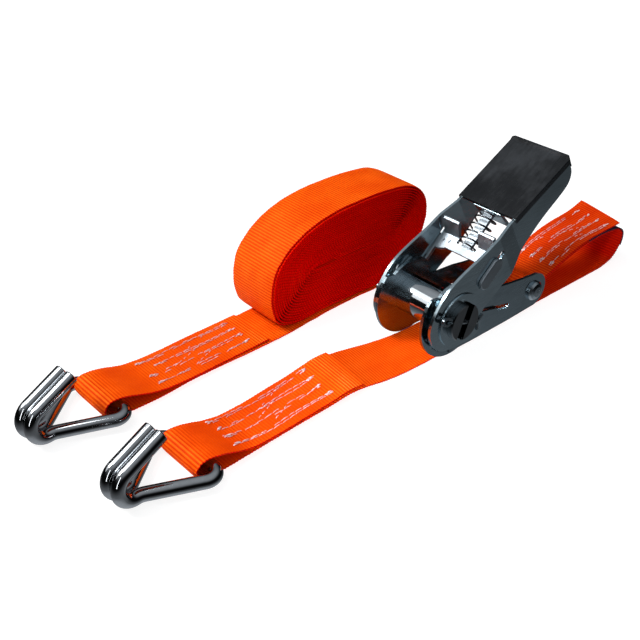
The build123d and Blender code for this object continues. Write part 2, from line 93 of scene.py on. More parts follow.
def noise(nt, vec, scale, detail=4, rough=0.5):
    n = nt.nodes.new("ShaderNodeTexNoise")
    n.inputs["Scale"].default_value = scale
    n.inputs["Detail"].default_value = detail
    n.inputs["Roughness"].default_value = rough
    nt.links.new(vec, n.inputs["Vector"])
    return n.outputs["Fac"]


def mapping(nt, vec, scale=(1, 1, 1), rot=(0, 0, 0)):
    mp = nt.nodes.new("ShaderNodeMapping")
    mp.inputs["Scale"].default_value = scale
    mp.inputs["Rotation"].default_value = rot
    nt.links.new(vec, mp.inputs[0])
    return mp.outputs[0]


def math_node(nt, op, a, b=None, c=None):
    m = nt.nodes.new("ShaderNodeMath")
    m.operation = op
    for i, v in enumerate((a, b, c)):
        if v is None:
            continue
        if isinstance(v, (int, float)):
            m.inputs[i].default_value = v
        else:
            nt.links.new(v, m.inputs[i])
    return m.outputs[0]


def remap(nt, v, a, b, c, d):
    r = nt.nodes.new("ShaderNodeMapRange")
    for k, x in zip(("From Min", "From Max", "To Min", "To Max"), (a, b, c, d)):
        r.inputs[k].default_value = x
    nt.links.new(v, r.inputs["Value"])
    return r.outputs[0]


def mix_rgb(nt, fac, a, b, mode="MIX"):
    m = nt.nodes.new("ShaderNodeMix")
    m.data_type = "RGBA"
    m.blend_type = mode
    for i, v in ((0, fac), (6, a), (7, b)):
        if isinstance(v, (int, float)):
            m.inputs[i].default_value = v
        elif isinstance(v, tuple):
            m.inputs[i].default_value = v
        else:
            nt.links.new(v, m.inputs[i])
    return m.outputs[2]


def bump(nt, b, height, strength, dist, prev=None):
    n = nt.nodes.new("ShaderNodeBump")
    n.inputs["Strength"].default_value = strength
    n.inputs["Distance"].default_value = dist
    nt.links.new(height, n.inputs["Height"])
    if prev is not None:
        nt.links.new(prev, n.inputs["Normal"])
    if b is not None:
        nt.links.new(n.outputs[0], b.inputs["Normal"])
    return n.outputs[0]


def rgb(r, g, b, a=1.0):
    """sRGB 0..255 to linear."""
    def f(v):
        v /= 255.0
        return v / 12.92 if v <= 0.04045 else ((v + 0.055) / 1.055) ** 2.4
    return (f(r), f(g), f(b), a)


# =============================================================================== materials

def metal(name, base, rough, scratch=0.35, axis=(1, 12, 12), dark=0.84, light=1.12, grain=0.03, ends=None):
    m, nt, b = new_mat(name)
    tc = nt.nodes.new("ShaderNodeTexCoord").outputs["Object"]
    cloud = noise(nt, tc, 70, 6, 0.6)
    fine = noise(nt, mapping(nt, tc, axis), 140, 4, 0.5)
    speck = noise(nt, tc, 700, 3, 0.5)
    v = math_node(nt, "ADD", math_node(nt, "MULTIPLY", cloud, 0.6), math_node(nt, "MULTIPLY", fine, 0.4))
    lo = tuple(c * dark for c in base[:3]) + (1,)
    hi = tuple(min(1.0, c * light) for c in base[:3]) + (1,)
    col = ramp(nt, v, [(0.34, lo), (0.5, base[:3] + (1,)), (0.66, hi)])
    if ends:                            # darker base colour beyond |y| = ends[0] metres
        sep = nt.nodes.new("ShaderNodeSeparateXYZ")
        nt.links.new(tc, sep.inputs[0])
        far = remap(nt, math_node(nt, "ABSOLUTE", sep.outputs[1]), ends[0], ends[0] + 0.0004, 0.0, 1.0)
        col = mix_rgb(nt, far, col, ramp(nt, v, [(0.34, tuple(c * ends[1] * 0.6 for c in base[:3]) + (1,)), (0.66, tuple(c * ends[1] for c in base[:3]) + (1,))]))
    nt.links.new(col, b.inputs["Base Color"])
    rr = remap(nt, v, 0.35, 0.65, rough * 0.7, rough * 1.4)
    nt.links.new(rr, b.inputs["Roughness"])
    b.inputs["Metallic"].default_value = 1.0
    h = math_node(nt, "ADD", math_node(nt, "MULTIPLY", fine, scratch), math_node(nt, "MULTIPLY", speck, 0.25))
    bump(nt, b, h, grain, 0.0002)
    return m


zinc_dark = metal("zinc_plate_cheek", (0.40, 0.50, 0.55), 0.17)
zinc_frame = metal("zinc_plate_frame", (0.33, 0.42, 0.47), 0.17)
zinc_slide = metal("zinc_plate_slide", (0.38, 0.43, 0.47), 0.52)
zinc_wheel = metal("zinc_plate_wheel", (0.30, 0.35, 0.38), 0.2)
polished = metal("polished_bar", (0.56, 0.60, 0.63), 0.08, 0.2, (12, 1, 12), 0.9, 1.08, 0.01, ends=(0.0168, 0.30))
hook_metal = metal("hook_wire_steel", (0.40, 0.42, 0.44), 0.06, 0.2, (3, 3, 3), 0.86, 1.1, 0.006)
spring_metal = metal("spring_wire", (0.15, 0.165, 0.18), 0.22, 0.3, (4, 4, 4))
pin_metal = metal("split_pin_wire", (0.18, 0.21, 0.23), 0.25, 0.3, (4, 4, 4))
bolt_metal = metal("bolt_dark", (0.40, 0.46, 0.50), 0.2, 0.3, (4, 4, 4))


def black_coat():
    m, nt, b = new_mat("black_grip_coat")
    tc = nt.nodes.new("ShaderNodeTexCoord").outputs["Object"]
    cloud = noise(nt, tc, 34, 5, 0.6)
    rub = noise(nt, mapping(nt, tc, (1, 5, 1), (0, math.radians(-28), 0)), 130, 5, 0.6)
    v = math_node(nt, "ADD", math_node(nt, "MULTIPLY", cloud, 0.82), math_node(nt, "MULTIPLY", rub, 0.18))
    col = ramp(nt, v, [(0.38, (0.0012, 0.0017, 0.0024, 1)), (0.50, (0.0035, 0.0045, 0.006, 1)), (0.64, (0.012, 0.015, 0.019, 1))])
    nt.links.new(col, b.inputs["Base Color"])
    nt.links.new(remap(nt, v, 0.40, 0.60, 0.14, 0.46), b.inputs["Roughness"])
    b.inputs["Specular IOR Level"].default_value = 0.33
    peel = noise(nt, tc, 900, 3, 0.5)
    bump(nt, b, peel, 0.12, 0.0002)
    b.inputs["Coat Weight"].default_value = 0.12
    b.inputs["Coat Roughness"].default_value = 0.16
    return m


black_grip = black_coat()

RIB = 1.5               # rib pitch of the webbing, mm


def webbing(name, hi, mid, lo, edge, spec=0.07, half_w=12.85, painted_shade=False):
    """Ribbed polyester webbing. UV 'web' holds millimetres: x across the strap from its middle, y along it. The colour
    has painted shade in the rib grooves, painted highlights on the ridges, painted deep red shade on the edges and,
    with painted_shade, painted shade on the short strap towards its loop.
    """
    m, nt, b = new_mat(name)
    uv = nt.nodes.new("ShaderNodeUVMap")
    uv.uv_map = "web"
    sep = nt.nodes.new("ShaderNodeSeparateXYZ")
    nt.links.new(uv.outputs[0], sep.inputs[0])
    u, s = sep.outputs[0], sep.outputs[1]
    wob = noise(nt, mapping(nt, uv.outputs[0], (0.10, 0.10, 0.1)), 1.6, 3, 0.5)
    s2 = math_node(nt, "ADD", s, math_node(nt, "MULTIPLY", wob, 0.5))
    rib = math_node(nt, "ADD", math_node(nt, "MULTIPLY", math_node(nt, "COSINE", math_node(nt, "MULTIPLY", s, 2 * math.pi / RIB)), 0.5), 0.5)
    # warp yarns: short floats offset from rib to rib
    half = math_node(nt, "MULTIPLY", math_node(nt, "ROUND", math_node(nt, "DIVIDE", s, RIB)), 0.31)
    yarn = math_node(nt, "ADD", math_node(nt, "MULTIPLY", math_node(nt, "SINE", math_node(nt, "MULTIPLY", math_node(nt, "ADD", u, half), 2 * math.pi / 0.62)), 0.5), 0.5)
    fib = noise(nt, mapping(nt, uv.outputs[0], (6.0, 1.1, 1)), 1.0, 4, 0.6)
    big = noise(nt, mapping(nt, uv.outputs[0], (0.09, 0.05, 1)), 1.0, 3, 0.5)
    # the rib stripes added to v are painted shade in the grooves and painted highlights on the ridges; yarn, fibre and
    # large noise are the webbing's own tone
    v = math_node(nt, "ADD", math_node(nt, "MULTIPLY", rib, 0.30), math_node(nt, "MULTIPLY", yarn, 0.16))
    v = math_node(nt, "ADD", v, math_node(nt, "MULTIPLY", fib, 0.42))
    v = math_node(nt, "ADD", v, math_node(nt, "MULTIPLY", math_node(nt, "SUBTRACT", big, 0.5), 0.30))
    # painted rib highlights: where 'bent' is above 0 the rib tops are painted lighter, and below 0 the painted rib
    # shade and highlights are weakened
    rib_highlight_zone = nt.nodes.new("ShaderNodeAttribute")
    rib_highlight_zone.attribute_name = "bent"
    z = rib_highlight_zone.outputs["Fac"]
    tone_with_rib_highlight = math_node(nt, "ADD", v, math_node(nt, "MULTIPLY", math_node(nt, "SUBTRACT", rib, 0.35), math_node(nt, "MULTIPLY", z, 0.42)))
    # the last ramp stop, (1.0, 0.42, 0.13), is a painted highlight for the rib tops
    col = ramp(nt, tone_with_rib_highlight, [(0.18, lo), (0.48, mid), (0.74, hi), (1.0, (1.0, 0.42, 0.13, 1))])
    # painted shade: the edges (|u| beyond half_w) get the deep red that the strap sides show in shade
    e = remap(nt, math_node(nt, "ABSOLUTE", u), half_w - 0.45, half_w + 0.1, 0.0, 1.0)
    edge_shade_col = ramp(nt, v, [(0.2, tuple(c * 0.55 for c in edge[:3]) + (1,)), (0.8, edge)])
    col = mix_rgb(nt, e, col, edge_shade_col)
    if painted_shade:                            # painted shade: darker from x 30 mm to 85 mm, where the handle shades the strap, and deep red shade on the loop's turn
        pos = nt.nodes.new("ShaderNodeSeparateXYZ")
        nt.links.new(nt.nodes.new("ShaderNodeTexCoord").outputs["Object"], pos.inputs[0])
        px = math_node(nt, "ADD", pos.outputs[0], math_node(nt, "MULTIPLY", math_node(nt, "SUBTRACT", big, 0.5), 0.02))
        handle_shade = remap(nt, px, 0.030, 0.085, 0.0, 1.0)
        col = mix_rgb(nt, handle_shade, col, mix_rgb(nt, 1.0, col, ramp(nt, v, [(0.2, (0.72, 0.42, 0.30, 1)), (0.8, (0.80, 0.52, 0.40, 1))]), "MULTIPLY"))
        # painted shade on the loop's turn: x past 118 mm and below z 21.5 mm
        turn = math_node(nt, "MULTIPLY", remap(nt, pos.outputs[0], 0.118, 0.129, 0.0, 1.0), remap(nt, pos.outputs[2], 0.0205, 0.0215, 1.0, 0.0))
        col = mix_rgb(nt, turn, col, mix_rgb(nt, 1.0, col, ramp(nt, v, [(0.2, (0.70, 0.10, 0.20, 1)), (0.8, (0.78, 0.20, 0.30, 1))]), "MULTIPLY"))
    nt.links.new(col, b.inputs["Base Color"])
    nt.links.new(remap(nt, v, 0.2, 0.8, 0.72, 0.46), b.inputs["Roughness"])
    b.inputs["Specular IOR Level"].default_value = spec
    h = math_node(nt, "ADD", math_node(nt, "MULTIPLY", yarn, 0.5), math_node(nt, "MULTIPLY", fib, 0.5))
    bump(nt, b, h, 0.55, 0.00018)
    return m


orange = webbing("webbing_orange", (1.0, 0.175, 0.010, 1), (0.86, 0.074, 0.0005, 1), (0.60, 0.022, 0.0004, 1), (0.80, 0.003, 0.0005, 1), 0.035, painted_shade=True)
orange_long = webbing("webbing_orange_long", (1.0, 0.19, 0.010, 1), (0.84, 0.082, 0.0005, 1), (0.58, 0.024, 0.0004, 1), (1.0, 0.0010, 0.0004, 1), 0.035, 14.2)
# the roll's turns are painted deep red throughout: painted shade for the roll's faces
roll_mat = webbing("webbing_orange_roll", (0.98, 0.05, 0.004, 1), (0.82, 0.012, 0.001, 1), (0.55, 0.004, 0.0006, 1), (1.0, 0.0006, 0.0003, 1), 0.0, 14.1)


def thread_mat():
    m, nt, b = new_mat("stitch_thread")
    tc = nt.nodes.new("ShaderNodeTexCoord").outputs["Object"]
    v = noise(nt, tc, 900, 4, 0.6)
    nt.links.new(ramp(nt, v, [(0.35, rgb(196, 120, 108)), (0.5, rgb(226, 184, 184)), (0.65, rgb(240, 222, 226))]), b.inputs["Base Color"])
    nt.links.new(remap(nt, v, 0.3, 0.7, 0.5, 0.75), b.inputs["Roughness"])
    tw = nt.nodes.new("ShaderNodeTexWave")
    tw.inputs["Scale"].default_value = 900
    nt.links.new(tc, tw.inputs["Vector"])
    bump(nt, b, tw.outputs["Fac"], 0.4, 0.0001)
    return m


thread = thread_mat()


def label_fabric():
    m, nt, b = new_mat("label_navy_fabric")
    tc = nt.nodes.new("ShaderNodeTexCoord").outputs["Object"]
    v = noise(nt, tc, 400, 5, 0.6)
    ch = nt.nodes.new("ShaderNodeTexChecker")
    ch.inputs["Scale"].default_value = 3500
    nt.links.new(tc, ch.inputs["Vector"])
    nt.links.new(ramp(nt, v, [(0.35, rgb(20, 22, 44)), (0.65, rgb(42, 46, 78))]), b.inputs["Base Color"])
    nt.links.new(remap(nt, v, 0.3, 0.7, 0.5, 0.8), b.inputs["Roughness"])
    bump(nt, b, ch.outputs["Fac"], 0.3, 0.00008)
    return m


navy = label_fabric()

look = {
    "handle_channel": zinc_dark, "frame_plate_near": zinc_frame, "frame_plate_far": zinc_frame,
    "mandrel_half_upper": polished, "mandrel_half_lower": polished, "short_hook": hook_metal, "long_hook": hook_metal,
    "grip_cover": black_grip, "drive_slide": zinc_slide, "lock_slide": zinc_frame, "lock_spring_seat": zinc_frame,
    "ratchet_wheel_near": zinc_wheel, "ratchet_wheel_far": zinc_wheel, "split_pin_near": pin_metal, "split_pin_far": pin_metal,
    "anchor_bolt": bolt_metal, "anchor_nut": zinc_wheel, "anchor_sleeve": zinc_wheel,
}
for n, mat in look.items():
    o = N[n]
    o.data.materials.clear()
    o.data.materials.append(mat)
    for p in o.data.polygons:
        p.use_smooth = True
    o.data.set_sharp_from_angle(angle=math.radians(28))

# =============================================================================== webbing builder


def catmull(P, per=24):
    """Points on a centripetal-like Catmull-Rom curve through the rows of P."""
    P = np.asarray(P, float)
    Q = np.vstack([2 * P[0] - P[1], P, 2 * P[-1] - P[-2]])
    t = np.linspace(0, 1, per, endpoint=False)[:, None]
    out = []
    for i in range(1, len(Q) - 2):
        a, b, c, d = Q[i - 1], Q[i], Q[i + 1], Q[i + 2]
        # tangents scaled by the spans, so uneven rows don't overshoot
        l0, l1, l2 = (np.linalg.norm(b[:3] - a[:3]) + 1e-9, np.linalg.norm(c[:3] - b[:3]) + 1e-9, np.linalg.norm(d[:3] - c[:3]) + 1e-9)
        m1 = l1 * ((b - a) / l0 * l1 + (c - b) / l1 * l0) / (l0 + l1)
        m2 = l1 * ((c - b) / l1 * l2 + (d - c) / l2 * l1) / (l1 + l2)
        h00, h10, h01, h11 = 2 * t**3 - 3 * t**2 + 1, t**3 - 2 * t**2 + t, -2 * t**3 + 3 * t**2, t**3 - t**2
        out.append(h00 * b + h10 * m1 + h01 * c + h11 * m2)
    return np.vstack(out + [P[-1:]])


def resample(P, step):
    """Rows of P (x y z ...) at equal steps of arc length."""
    d = np.linalg.norm(np.diff(P[:, :3], axis=0), axis=1)
    s = np.concatenate([[0], np.cumsum(d)])
    n = max(2, int(round(s[-1] / step)) + 1)
    q = np.linspace(0, s[-1], n)
    return np.stack([np.interp(q, s, P[:, k]) for k in range(P.shape[1])], 1), q


def smooth_noise(n, span, amp):
    k = max(4, int(n / span) + 3)
    return amp * np.interp(np.linspace(0, k - 1, n), np.arange(k), rng.uniform(-1, 1, k))


class Band:
    """A strap along rows of (x, y centre, z of the far edge, z of the near edge), in millimetres, turned by deg about Z at origin."""

    def __init__(self, rows, width, thick=0.9, step=0.25, cols=15, ridge=0.11, nub=0.12, wander=0.08, origin=(0, 0, 0), deg=0.0, per=24, smooth=True, s0=0.0, bent=(), widths=()):
        R = np.array([(r[0], r[1], (r[2] + r[3]) / 2, (r[2] - r[3])) for r in rows], float)
        C = catmull(R, per) if smooth else R
        C, s = resample(C, step)
        n = len(C)
        centre = C[:, :3].copy()
        centre[:, 1] += smooth_noise(n, 60, wander)
        dz = C[:, 3]
        w = np.stack([np.zeros(n), np.full(n, width), dz], 1)
        w /= np.linalg.norm(w, axis=1)[:, None]
        c, sn = math.cos(math.radians(deg)), math.sin(math.radians(deg))
        rot = np.array([[c, -sn, 0], [sn, c, 0], [0, 0, 1]])
        centre = centre @ rot.T + np.array(origin)
        w = w @ rot.T
        t = np.gradient(centre, axis=0)
        t /= np.linalg.norm(t, axis=1)[:, None]
        nrm = np.cross(t, w)
        nrm /= np.linalg.norm(nrm, axis=1)[:, None]
        self.c, self.w, self.n, self.t, self.s, self.width, self.thick = centre, w, nrm, t, s + s0, width, thick
        self.length = s[-1]
        ph = 2 * math.pi * self.s / RIB
        rib = 0.5 + 0.5 * np.cos(ph)
        z = np.zeros(n)
        for a, b, k in bent:
            mid, half = (a + b) / 2, (b - a) / 2
            z = z + k * np.clip(1.35 * (1 - np.abs(self.s - mid) / half), 0, 1)      # below 0: flatter ribs, and flatter painted rib shade and highlights in the colour
        self.bent = z
        rib = rib * (1 + 0.9 * z)
        hw = width / 2
        wide = np.interp(self.s, *zip(*widths)) / width if widths else np.ones(n)
        far = hw * wide - 0.02 + nub * np.cos(ph) + smooth_noise(n, 7, 0.09)
        near = hw * wide - 0.02 + nub * np.cos(ph + 0.4) + smooth_noise(n, 7, 0.09)
        us = np.linspace(-1, 1, cols)
        rings, uvs = [], []
        lift = smooth_noise(n, 9, 0.03)
        for k, f in enumerate(us):          # side of the normal, near edge to far edge
            lim = np.where(f < 0, near, far) - 0.30
            ax = f * lim
            edge = 1 - 0.5 * abs(f) ** 8
            hgt = (thick / 2 + ridge * rib + lift) * edge
            rings.append(centre + w * ax[:, None] + nrm * hgt[:, None])
            uvs.append(np.stack([f * (hw - 0.30) * np.ones(n), self.s], 1))
        for v, g in ((0.20, 0.0), (-0.20, 0.0)):
            rings.append(centre + w * far[:, None] + nrm * (v * thick / 0.9))
            uvs.append(np.stack([np.full(n, hw + 0.4), self.s], 1))
        for k, f in enumerate(us[::-1]):
            lim = np.where(f < 0, near, far) - 0.30
            ax = f * lim
            edge = 1 - 0.5 * abs(f) ** 8
            hgt = (thick / 2 + ridge * rib + lift) * edge
            rings.append(centre + w * ax[:, None] - nrm * hgt[:, None])
            uvs.append(np.stack([f * (hw - 0.30) * np.ones(n), self.s], 1))
        for v, g in ((-0.20, 0.0), (0.20, 0.0)):
            rings.append(centre - w * near[:, None] + nrm * (v * thick / 0.9))
            uvs.append(np.stack([np.full(n, -hw - 0.4), self.s], 1))
        self.V = np.stack(rings, 1)         # n, m, 3
        self.V[:, :, 2] = np.maximum(self.V[:, :, 2], 0.02)     # rests on the floor
        self.UV = np.stack(uvs, 1)

    def build(self, name, mat):
        n, m, _ = self.V.shape
        verts = (self.V.reshape(-1, 3) * MM)
        i = np.arange(n - 1)[:, None] * m
        j = np.arange(m)[None, :]
        a = i + j
        b = i + (j + 1) % m
        faces = np.stack([a, a + m, b + m, b], -1).reshape(-1, 4)
        me = bpy.data.meshes.new(name)
        loops = faces.reshape(-1)
        caps = [list(range(m)), list(range((n - 1) * m, n * m))[::-1]]
        all_faces = faces.tolist() + caps
        me.from_pydata(verts.tolist(), [], all_faces)
        uvl = me.uv_layers.new(name="web")
        U = self.UV.reshape(-1, 2)
        li = np.empty(len(me.loops), dtype=np.int32)
        me.loops.foreach_get("vertex_index", li)
        uvl.data.foreach_set("uv", U[li].astype(np.float32).reshape(-1))
        me.polygons.foreach_set("use_smooth", [True] * len(me.polygons))
        # 'bent' also sets the painted rib highlights and rib shade in the webbing colour
        at = me.attributes.new("bent", "FLOAT", "POINT")
        at.data.foreach_set("value", np.repeat(self.bent, m).astype(np.float32))
        me.materials.append(mat)
        me.update()
        o = bpy.data.objects.new(name, me)
        scene.collection.objects.link(o)
        return o

    def at(self, s, u, side=1, up=0.0):
        """World point (mm), on the face of the normal's side, at distance s along and u across."""
        k = int(np.clip(np.searchsorted(self.s, s), 1, len(self.s) - 1))
        f = (s - self.s[k - 1]) / max(1e-9, self.s[k] - self.s[k - 1])
        c = self.c[k - 1] * (1 - f) + self.c[k] * f
        return c + self.w[k] * u + self.n[k] * side * (self.thick / 2 + up)

    def s_at(self, fn):
        """First distance along where fn(centre row) is true."""
        for k in range(len(self.s)):
            if fn(self.c[k]):
                return self.s[k]
        return self.s[-1]


def arc(cx, cz, r, a0, a1, n):
    return [(cx + r * math.cos(math.radians(a0 + (a1 - a0) * i / n)), cz + r * math.sin(math.radians(a0 + (a1 - a0) * i / n))) for i in range(n + 1)]


# =============================================================================== short strap
YC = 1.2
HX = -134.5


def flat(pts, y):
    return [(x, y, z, z) for x, z in pts]


rows = [(-52.0, YC, 9.0, 5.2), (-59.0, YC, 9.0, 6.0), (-72.0, YC, 7.0, 5.0), (-88.0, YC, 5.2, 4.1), (-104.0, YC, 3.9, 3.3), (-113.0, YC, 4.0, 3.6), (-119.5, YC, 5.3, 5.0)]
rows += flat([(-124.5, 6.9), (-129.0, 8.3), (-133.0, 9.15)], YC)
rows += flat(arc(HX - 1.6, 4.95, 4.4, 100, 260, 9), YC)
rows += flat([(-133.0, 0.6), (-126.5, 0.65)], YC)
rows += [(-116.0, YC, 1.5, 1.25), (-104.0, YC, 2.6, 2.0), (-88.0, YC, 3.95, 2.85), (-72.0, 1.0, 5.75, 3.75), (-59.0, 0.7, 7.7, 4.7), (-52.0, 0.5, 7.8, 4.1),
         (-46.0, 0.3, 7.1, 3.1), (-40.0, 0.1, 6.0, 2.1), (-30.0, 0.0, 4.0, 1.1), (-18.0, 0.0, 1.9, 0.6), (-6.0, 0.0, 0.6, 0.55)]
rows += flat([(10, 0.55), (40, 0.55), (70, 0.55), (95, 0.55), (110.0, 0.55), (120.6, 0.85), (128.8, 3.3), (132.7, 7.0), (134.8, 12.2), (134.4, 16.2), (131.0, 19.0), (124.8, 20.3),
              (116.0, 20.95), (108.0, 20.8), (99.2, 20.1), (90.0, 18.15), (81.3, 15.65), (72.0, 12.75), (67.5, 11.2), (64.6, 9.0)], 0.0)
rows += flat(arc(58.8, 10.8, 4.95, -42, -310, 12), 0.0)
rows += flat([(64.4, 13.5), (67.8, 12.9), (72.0, 14.0), (81.3, 16.95), (90.0, 19.5), (99.2, 21.6)], 0.0)
rows += [(108.0, 0.0, 22.7, 22.5), (116.0, 0.0, 23.2, 22.7), (122.0, 0.0, 24.1, 22.8), (126.5, 0.0, 25.2, 22.7), (130.9, 0.0, 26.6, 22.6)]
short = Band(rows, 25.7, bent=((0, 13, 0.6), (11, 66, -0.45), (60, 85, -0.85), (84, 91, 0.3), (90, 150, -0.5), (228, 262, 0.25)))
short_obj = short.build("short_webbing", orange)
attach(short_obj, "frame")
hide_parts("short_strap")

# =============================================================================== long strap
LH = (-141.3, 57.0)
RUN = 3.3
c3, s3 = math.cos(math.radians(RUN)), math.sin(math.radians(RUN))
ROLL_YC = 64.9
rows = [(84.0, -0.4, 2.0, 1.8), (70.0, -0.4, 2.3, 1.9), (52.0, -0.4, 2.7, 2.2), (36.0, -0.4, 2.9, 2.6), (24.0, -0.4, 3.8, 3.6)]
rows += [(18.5, -0.3, 4.6, 4.6), (14.5, -0.1, 5.7, 5.7), (10.0, 0.2, 7.1, 7.1), (5.5, 0.45, 8.4, 8.4), (1.5, 0.55, 9.15, 9.15)]
rows += flat(arc(-1.6, 4.95, 4.4, 100, 260, 9), 0.55)
rows += [(1.5, 0.5, 0.6, 0.6), (10.0, 0.2, 0.6, 0.6)]
rows += flat([(24.0, 0.9), (36.0, 1.5), (52.0, 1.3)], -0.4)
rows += flat([(70.0, 0.9), (84.0, 0.6), (92.0, 0.55)], -0.9)


def to_world(r):
    x, y, a, b = r
    return (LH[0] + x * c3 - y * s3, LH[1] + x * s3 + y * c3, a, b)


rows = [to_world(r) for r in rows]
outline = [(-43.0, 0.6), (-20, 0.5), (0, 0.5), (22.0, 0.8), (33.0, 4.2), (42.0, 12.0), (48.0, 22.4), (50.6, 32.0), (49.4, 40.4), (44.8, 46.8), (36.8, 51.0), (23.4, 53.0),
           (3.7, 53.6), (-10.5, 52.9), (-24.3, 50.3), (-34.5, 46.4), (-44.3, 39.6), (-50.2, 32.4), (-52.9, 23.0), (-52.4, 10.8), (-49.0, 3.2)]
OC = np.array([(x, 0.0, z) for x, z in outline], float)
closed = np.vstack([OC, OC[:1]])
loopc = catmull(np.hstack([np.vstack([closed[-2:-1], closed, closed[1:2]]), np.zeros((len(closed) + 2, 1))]), 16)
loopc = loopc[16:-17]
loopr, _ = resample(loopc, 0.5)
NL = len(loopr) - 1
loopr = loopr[:NL]
core_c = np.array([-1.0, 27.0])
core = np.stack([np.clip((loopr[:, 0] - core_c[0]) * 0.50, -25, 25) + core_c[0], core_c[1] + (loopr[:, 2] - core_c[1]) * 0.012], 1)


def roll_point(turn):
    """(x, z) on the wound spiral: turn 0 is the outer end, at the lower left where the run goes under."""
    k = (turn % 1.0) * NL
    i = int(k) % NL
    f = k - int(k)
    j = (i + 1) % NL
    p = loopr[i, (0, 2)] if False else np.array([loopr[i, 0] * (1 - f) + loopr[j, 0] * f, loopr[i, 2] * (1 - f) + loopr[j, 2] * f])
    c = core[i] * (1 - f) + core[j] * f
    lam = max(0.0, 1 - (turn * 1.13 + 0.02) / 25.8)
    ang = 2 * math.pi * turn
    wob = 0.25 * math.sin(ang * 1.7) * (1 - lam)
    return c + (p - c) * lam, wob


# outer end: the run under the roll and the first turn and a bit
TURN_A = 1.28
for k in range(3, int(TURN_A * 60) + 1):
    turn = k / 60.0
    p, _ = roll_point(turn)
    yc = ROLL_YC - 0.5 + 2.0 * min(1.0, turn / 0.6)
    if turn < 0.25:
        a = turn / 0.25
        yl = LH[1] + (p[0] - LH[0]) * s3 / c3
        yc = min(yl, 62.7 + (p[0] + 44) * 0.04) * (1 - a) + yc * a
    rows.append((float(p[0]), yc, float(p[1]) + (0.05 if turn < 0.2 else 0), float(p[1]) + (0.05 if turn < 0.2 else 0)))
long_band = Band(rows, 28.4, per=10, wander=0.05, bent=((0, 8, 0.4), (6, 64, -0.45), (58, 85, -0.85), (84, 91, 0.3), (90, 170, -0.5), (455, 540, 0.9)), widths=((0, 27.9), (50, 27.5), (75, 26.6), (84, 25.7), (100, 25.7), (116, 27.2), (190, 29.4), (600, 29.8)))
long_obj = long_band.build("long_webbing_run", orange_long)
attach(long_obj, "long_strap")
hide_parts("long_strap")

# inner turns, seen at the roll's two faces
rows = []
TURNS = 22.75
k = TURN_A - 0.02
ys = {}
while k < TURNS:
    p, wob = roll_point(k)
    t0 = int(k)
    for q in (t0, t0 + 1):
        if q not in ys:
            ys[q] = random.uniform(-0.16, 0.16)
    f = k - t0
    rows.append((float(p[0]), ROLL_YC + 0.65 + ys[t0] * (1 - f) + ys[t0 + 1] * f, float(p[1]), float(p[1])))
    k += 1 / 110.0
inner = Band(rows, 28.2, thick=0.98, step=0.75, cols=3, ridge=0.07, nub=0.05, wander=0.04, per=2, widths=((0, 29.6), (9000, 29.6)))
inner_obj = inner.build("roll_turns", roll_mat)
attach(inner_obj, "long_strap")
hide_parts("long_strap")
print("short", round(short.length), "long run", round(long_band.length), "inner", round(inner.length))

# =============================================================================== stitching
sv, sf = [], []


def stitch(p, q, nrm, r=0.165):
    """A short thread from p to q, arched over the surface (mm)."""
    p, q, nrm = np.array(p), np.array(q), np.array(nrm)
    d = q - p
    L = np.linalg.norm(d)
    if L < 0.2:
        return
    d /= L
    side = np.cross(nrm, d)
    side /= np.linalg.norm(side)
    base = len(sv)
    stations = ((0.0, -0.12, 0.35), (0.14, 0.10, 0.9), (0.5, 0.20, 1.0), (0.86, 0.10, 0.9), (1.0, -0.12, 0.35))
    for f, lift, k in stations:
        c = p + d * L * f + nrm * lift
        for a in range(6):
            t = a * math.pi / 3
            sv.append(c + (side * math.cos(t) * 1.1 + nrm * math.sin(t) * 0.8) * r * k)
    for i in range(4):
        for a in range(6):
            b = (a + 1) % 6
            sf.append((base + i * 6 + a, base + i * 6 + b, base + (i + 1) * 6 + b, base + (i + 1) * 6 + a))
    sf.append(tuple(base + a for a in range(6))[::-1])
    sf.append(tuple(base + 24 + a for a in range(6)))


def seam(band, s0, s1, u0, u1, side, length=3.8, gap=0.35, amp=0.4, skip=0.16):
    s = s0
    ph = random.uniform(0, 6)
    tot = s1 - s0
    while s < s1 - 0.8:
        e = min(s1, s + length * random.uniform(0.8, 1.25))
        def pos(x):
            f = (x - s0) / tot
            return u0 + (u1 - u0) * f + amp * math.sin(ph + x * 0.17) + random.uniform(-0.06, 0.06)
        if random.random() > skip:
            a = band.at(s, pos(s), side, 0.13)
            b = band.at(e, pos(e), side, 0.13)
            k = int(np.clip(np.searchsorted(band.s, s), 0, len(band.s) - 1))
            stitch(a, b, band.n[k] * side)
        s = e + gap * random.uniform(0.7, 1.3)


def blob(band, s, u, side, n=5, spread=1.0):
    for _ in range(n):
        ds, du = random.uniform(-1.6, 1.6), random.uniform(-spread, spread)
        a = band.at(s + ds - 0.9, u + du, side, 0.18)
        b = band.at(s + ds + 0.9, u + du + random.uniform(-0.6, 0.6), side, 0.18)
        k = int(np.clip(np.searchsorted(band.s, s), 0, len(band.s) - 1))
        stitch(a, b, band.n[k] * side, 0.27)


